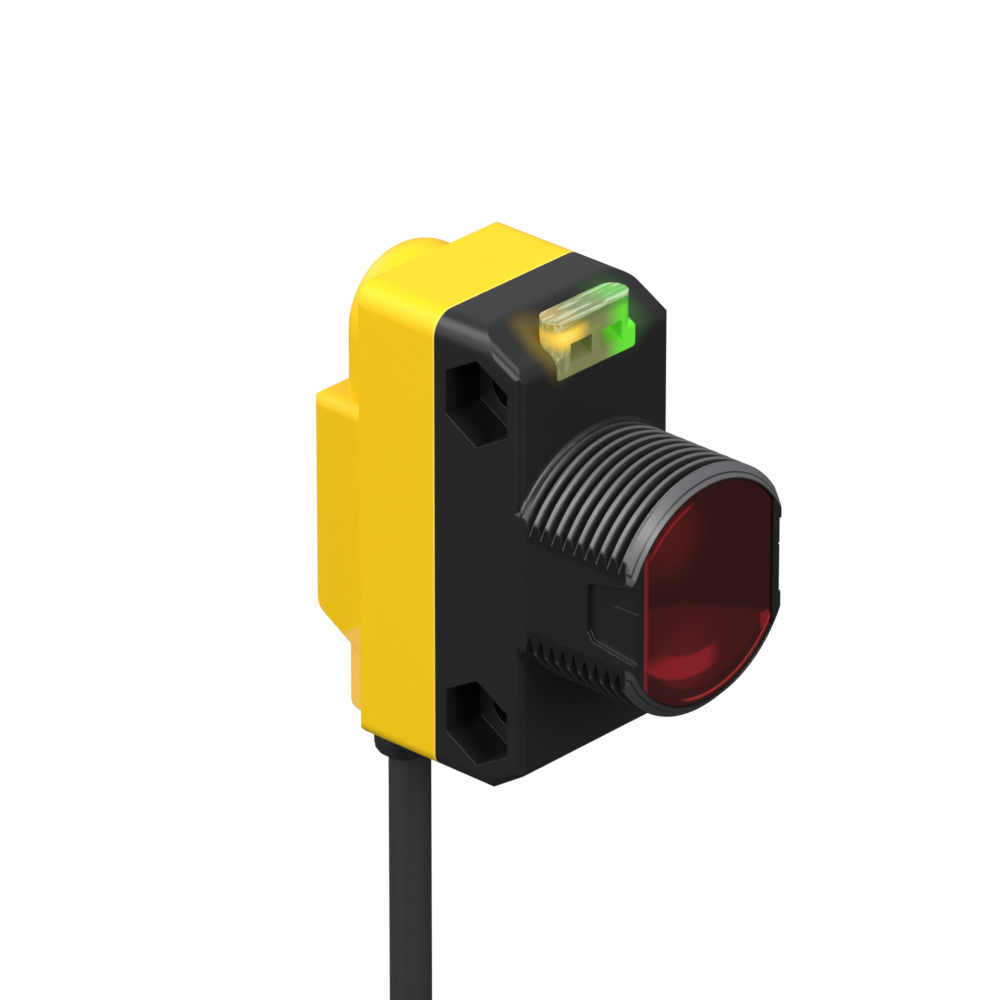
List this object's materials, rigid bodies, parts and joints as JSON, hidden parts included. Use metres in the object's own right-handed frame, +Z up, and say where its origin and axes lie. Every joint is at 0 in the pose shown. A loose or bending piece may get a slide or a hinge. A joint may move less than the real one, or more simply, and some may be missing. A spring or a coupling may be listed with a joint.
{
  "type": "photoelectric sensor",
  "caption": "Right-angle photoelectric sensor with a threaded barrel, red lens, side fixing holes, indicator light pipe and flying lead.",
  "frame": {"origin": "on the optical axis, midway between the two side fixing holes and level with their axes", "axes": "+Z up, away from the cable; the lens looks along -Y; +X is one of the two flat sides, the plain side without nut pockets"},
  "size_m": [0.0307, 0.0309, 0.1702],
  "materials": {
    "black_moulding": "satin moulded",
    "yellow_moulding": "satin moulded",
    "seal_rubber": "matt",
    "red_lens": "polished translucent",
    "clear_pipe": "polished clear",
    "carrier_plastic": "matt",
    "shield_steel": "bright",
    "filter_glass": "polished",
    "emitter_epoxy": "polished",
    "receiver_epoxy": "polished",
    "board_laminate": "solder mask",
    "pin_metal": "plated",
    "chip_epoxy": "matt",
    "ceramic": "matt",
    "green_epoxy": "clear",
    "yellow_epoxy": "clear",
    "adjuster_case": "satin",
    "adjuster_head": "satin",
    "brown_insulation": "satin",
    "white_insulation": "satin",
    "blue_insulation": "satin",
    "black_insulation": "satin",
    "cable_jacket": "matt",
    "boot_rubber": "satin",
    "tie_plastic": "satin",
    "tinned_copper": "dull bright"
  },
  "bodies": {
    "sensor": {"front_housing": "black_moulding", "rear_cover": "yellow_moulding", "housing_seal": "seal_rubber", "front_lens": "red_lens", "light_pipe": "clear_pipe", "optics_carrier": "carrier_plastic", "beam_shield": "shield_steel", "receiver_filter": "filter_glass", "emitter_diode": "emitter_epoxy", "receiver_diode": "receiver_epoxy", "optics_board": "board_laminate", "header_pins": "pin_metal", "main_board": "board_laminate", "controller_chip": "chip_epoxy", "regulator_chip": "chip_epoxy", "output_transistors": "chip_epoxy", "capacitors": "ceramic", "resistors": "chip_epoxy", "power_led": "green_epoxy", "output_led": "yellow_epoxy", "adjuster_body": "adjuster_case", "adjuster_seal": "seal_rubber", "brown_inner_lead": "brown_insulation", "white_inner_lead": "white_insulation", "blue_inner_lead": "blue_insulation", "black_inner_lead": "black_insulation", "cable_boot": "boot_rubber", "cable": "cable_jacket", "cable_hank": "cable_jacket", "hank_tie": "tie_plastic", "cable_tail": "cable_jacket", "brown_core": "brown_insulation", "white_core": "white_insulation", "blue_core": "blue_insulation", "black_core": "black_insulation", "tinned_ends": "tinned_copper"},
    "adjuster": {"adjuster_rotor": "adjuster_head"}
  },
  "joints": [
    {"name": "gain_turn", "type": "hinge", "parent": "sensor", "child": "adjuster", "pos_m": [0, 0.0145, 0], "axis": [0, 1, 0], "range_deg": [-135, 135]}
  ]
}
